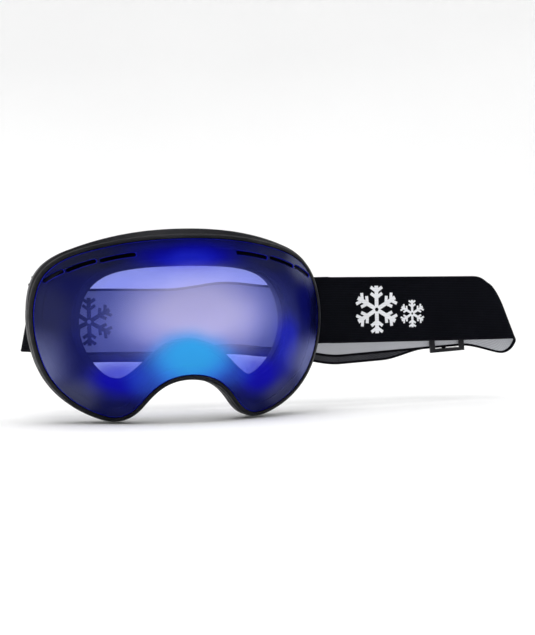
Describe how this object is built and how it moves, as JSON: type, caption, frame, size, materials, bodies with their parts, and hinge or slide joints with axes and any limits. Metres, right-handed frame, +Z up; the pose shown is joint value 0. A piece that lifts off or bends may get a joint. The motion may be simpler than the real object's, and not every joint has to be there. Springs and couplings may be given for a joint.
{
  "type": "ski goggles",
  "caption": "Ski goggles with a spherical mirrored double lens, vented frame, layered face foam and an elastic strap swung to one side with a slider.",
  "frame": {"origin": "middle of the face line: middle plane, level with the eyes, where the foam meets the brow", "axes": "+Z up as worn, -Y out through the lens, +X to the wearer's left, where the strap lies in this pose"},
  "size_m": [0.3284, 0.1157, 0.112],
  "materials": {
    "mirror_lens": "blue mirror coat",
    "clear_lens": "clear, slightly tinted",
    "seal_foam": "closed-cell foam",
    "black_plastic": "fine moulded grain",
    "frame_rubber": "satin moulded elastomer",
    "vent_foam": "open-cell foam",
    "vent_mesh": "fine mesh",
    "face_foam": "open-cell foam",
    "fleece": "brushed fleece",
    "webbing": "woven elastic, light grey inside",
    "thread": "stitching"
  },
  "bodies": {
    "root": {"frame": "frame_rubber", "face_plate": "black_plastic", "top_vent_foam": "vent_foam", "bottom_vent_foam_left": "vent_foam", "bottom_vent_foam_right": "vent_foam", "foam_base": "face_foam", "foam_soft": "face_foam", "face_fleece": "fleece", "strap_webbing": "webbing", "strap_return": "webbing", "anchor_stitching": "thread"},
    "lens_unit": {"outer_lens": "mirror_lens", "inner_lens": "clear_lens", "lens_spacer_foam": "seal_foam", "lens_pegs": "black_plastic", "lens_vent_mesh_left_inner": "vent_mesh", "lens_vent_mesh_left_middle": "vent_mesh", "lens_vent_mesh_left_outer": "vent_mesh", "lens_vent_mesh_right_inner": "vent_mesh", "lens_vent_mesh_right_middle": "vent_mesh", "lens_vent_mesh_right_outer": "vent_mesh"},
    "strap_slider": {"slider": "black_plastic", "slider_strap_fold": "webbing", "slider_stitching": "thread"}
  },
  "joints": [
    {"name": "lens_release", "type": "slide", "parent": "root", "child": "lens_unit", "axis": [0, -1, 0], "range_m": [0, 0.06]},
    {"name": "slider_adjust", "type": "slide", "parent": "root", "child": "strap_slider", "axis": [-0.9984, 0, -0.0558], "range_m": [0, 0.05], "deforming": ["strap_return"]}
  ]
}
